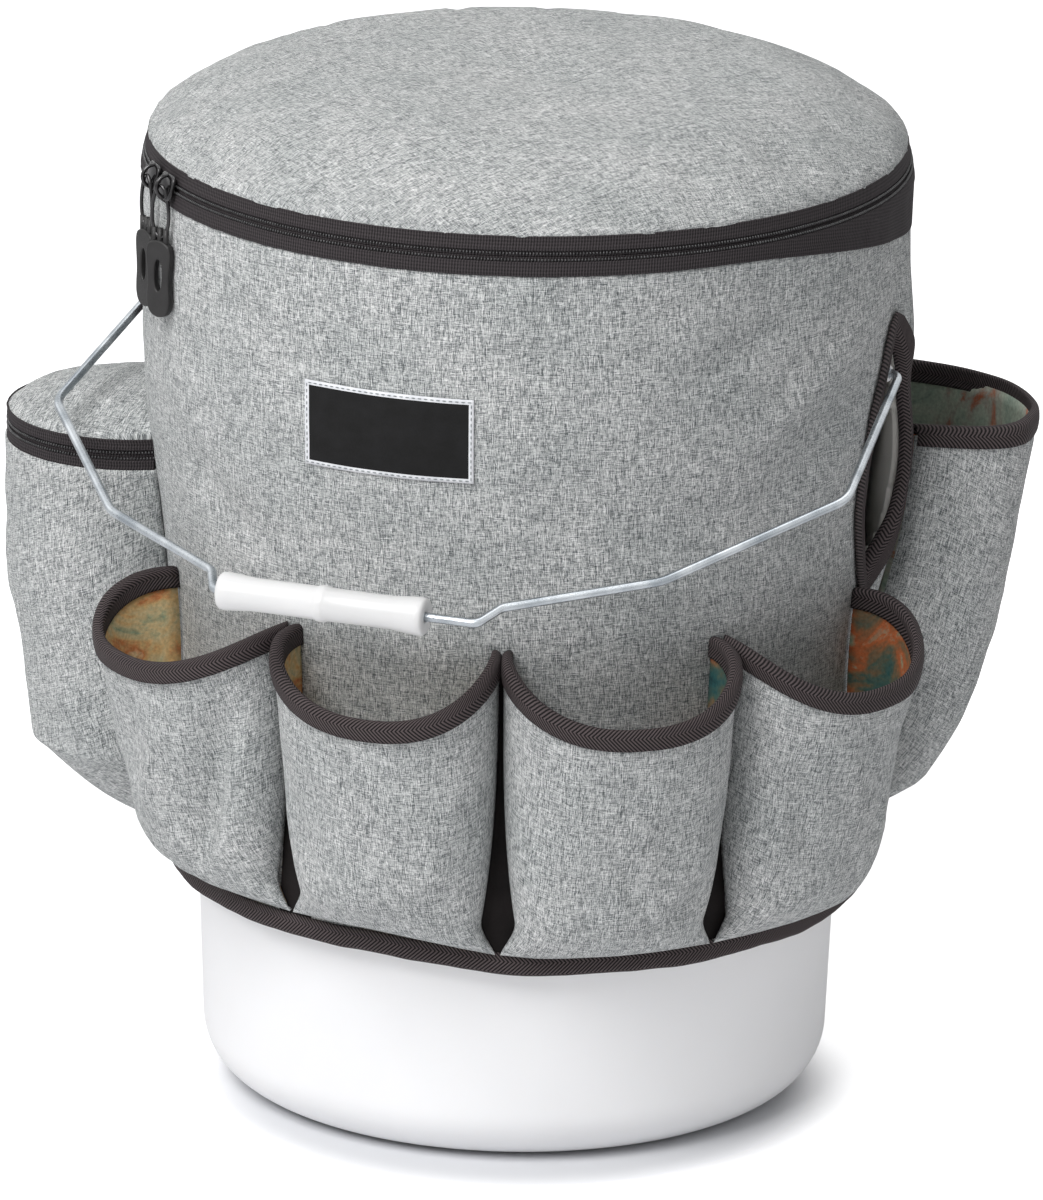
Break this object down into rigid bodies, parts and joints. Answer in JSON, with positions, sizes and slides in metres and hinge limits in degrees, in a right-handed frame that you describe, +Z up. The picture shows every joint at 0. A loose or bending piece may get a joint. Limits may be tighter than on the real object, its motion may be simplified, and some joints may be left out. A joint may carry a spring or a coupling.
{
  "type": "insulated pail cover with zipped lid",
  "caption": "Pail with a wire handle in a padded cloth cover: zipped hinged lid, can pockets round the front, an open side pocket and a zipped side pocket.",
  "frame": {"origin": "centre of the pail's flat underside, on the floor", "axes": "+Z up, -Y the front with the can pockets and the resting handle, +X the right side with the open pocket"},
  "size_m": [0.4221, 0.3718, 0.4337],
  "materials": {
    "white_hdpe": "satin moulded polyethylene",
    "galvanised_wire": "galvanised drawn wire",
    "heather_cloth": "heathered woven polyester",
    "foam": "closed-cell foam",
    "inner_lining": "plain woven lining",
    "black_tape": "twill binding tape",
    "black_coil": "nylon coil",
    "printed_lining": "printed woven cotton",
    "label_cloth": "woven label with a stitched edge",
    "gunmetal": "gunmetal plate",
    "black_rubber": "moulded rubber"
  },
  "bodies": {
    "pail": {"bucket": "white_hdpe", "sleeve_shell": "heather_cloth", "can_pocket_1": "heather_cloth", "can_pocket_2": "heather_cloth", "can_pocket_3": "heather_cloth", "can_pocket_4": "heather_cloth", "side_pocket": "heather_cloth", "zipped_pocket": "heather_cloth", "zipped_yoke": "heather_cloth", "sleeve_foam": "foam", "rim_flange": "foam", "hem_binding": "black_tape", "slit_binding_right": "black_tape", "slit_binding_left": "black_tape", "can_binding_1": "black_tape", "can_binding_2": "black_tape", "can_binding_3": "black_tape", "can_binding_4": "black_tape", "side_binding": "black_tape", "hinge_strip_lower": "black_tape", "zip_tape_lower": "black_tape", "zipped_tape_lower": "black_tape", "zip_coil_lower": "black_coil", "zipped_coil_lower": "black_coil", "can_lining_1": "printed_lining", "can_lining_2": "printed_lining", "can_lining_3": "printed_lining", "can_lining_4": "printed_lining", "side_lining": "printed_lining", "label_patch": "label_cloth"},
    "lid": {"lid_cover": "heather_cloth", "lid_foam": "foam", "lid_lining": "inner_lining", "hinge_strip_upper": "black_tape", "zip_tape_upper": "black_tape", "zip_coil_upper": "black_coil"},
    "handle": {"handle_wire": "galvanised_wire"},
    "grip": {"handle_grip": "white_hdpe"},
    "slider_a": {"slider_a": "gunmetal"},
    "pull_a": {"link_a": "gunmetal", "tab_a": "black_rubber"},
    "slider_b": {"slider_b": "gunmetal"},
    "pull_b": {"link_b": "gunmetal", "tab_b": "black_rubber"},
    "flap": {"zipped_flap": "heather_cloth", "zipped_tape_upper": "black_tape", "zipped_coil_upper": "black_coil"},
    "pocket_slider": {"zipped_slider": "gunmetal"},
    "pocket_pull": {"zipped_link": "gunmetal", "zipped_tab": "black_rubber"}
  },
  "joints": [
    {"name": "handle_swing", "type": "hinge", "parent": "pail", "child": "handle", "pos_m": [0, 0, 0.324], "axis": [-1, 0, 0], "range_deg": [0, 209]},
    {"name": "grip_spin", "type": "hinge", "parent": "handle", "child": "grip", "pos_m": [-0.007, -0.20274, 0.26202], "axis": [1, 0, 0], "continuous": true},
    {"name": "lid_open", "type": "hinge", "parent": "pail", "child": "lid", "pos_m": [0, 0.1602, 0.401], "axis": [-1, 0, 0], "range_deg": [0, 110]},
    {"name": "slider_a_run", "type": "hinge", "parent": "pail", "child": "slider_a", "pos_m": [0, 0, 0.401], "axis": [0, 0, 1], "range_deg": [0, 190]},
    {"name": "pull_a_swing", "type": "hinge", "parent": "slider_a", "child": "pull_a", "pos_m": [-0.11728, -0.11525, 0.40225], "axis": [-0.7009, 0.7133, 0], "range_deg": [0, 150]},
    {"name": "slider_b_run", "type": "hinge", "parent": "pail", "child": "slider_b", "pos_m": [0, 0, 0.401], "axis": [0, 0, 1], "range_deg": [-94, 0]},
    {"name": "pull_b_swing", "type": "hinge", "parent": "slider_b", "child": "pull_b", "pos_m": [-0.12868, -0.10236, 0.40225], "axis": [-0.6225, 0.7826, 0], "range_deg": [0, 150]},
    {"name": "flap_open", "type": "hinge", "parent": "pail", "child": "flap", "pos_m": [-0.1792, -0.033, 0.2916], "axis": [0, 1, 0], "range_deg": [0, 80]},
    {"name": "pocket_slider_run", "type": "hinge", "parent": "pail", "child": "pocket_slider", "pos_m": [-0.164, -0.033, 0.2735], "axis": [0, 0, 1], "range_deg": [0, 170]},
    {"name": "pocket_pull_swing", "type": "hinge", "parent": "pocket_slider", "child": "pocket_pull", "pos_m": [-0.17293, 0.02337, 0.2735], "axis": [0.9877, 0.1564, 0], "range_deg": [0, 120]}
  ]
}
